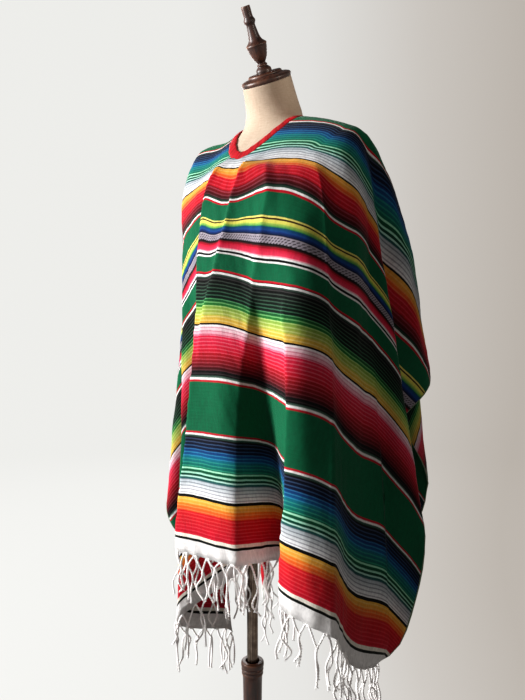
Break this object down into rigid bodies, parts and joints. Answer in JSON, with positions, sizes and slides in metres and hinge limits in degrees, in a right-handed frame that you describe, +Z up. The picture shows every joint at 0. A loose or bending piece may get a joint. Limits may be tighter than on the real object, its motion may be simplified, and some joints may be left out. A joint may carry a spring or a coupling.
{
  "type": "poncho on a dress form",
  "caption": "Striped woven poncho with fringed hems, draped over a limbless linen dress form on a turned wooden stand.",
  "frame": {"origin": "centre of the base's underside, on the floor", "axes": "+Z up along the pole, -Y towards the garment's front, +X towards the wearer's left"},
  "size_m": [0.5917, 0.5245, 1.5981],
  "materials": {
    "weave": "matt striped plain weave",
    "white_yarn": "matt",
    "red_tape": "soft sheen",
    "linen": "matt",
    "dark_wood": "satin",
    "pole_metal": "satin"
  },
  "bodies": {
    "stand": {"base": "dark_wood", "column": "dark_wood"},
    "form": {"pole": "pole_metal", "form_body": "linen", "neck_cap": "dark_wood", "finial": "dark_wood", "poncho_cloth": "weave", "neck_binding": "red_tape", "fringe_front": "white_yarn", "fringe_back": "white_yarn"}
  },
  "joints": [
    {"name": "form_height", "type": "slide", "parent": "stand", "child": "form", "axis": [0, 0, 1], "range_m": [-0.08, 0.09]}
  ]
}
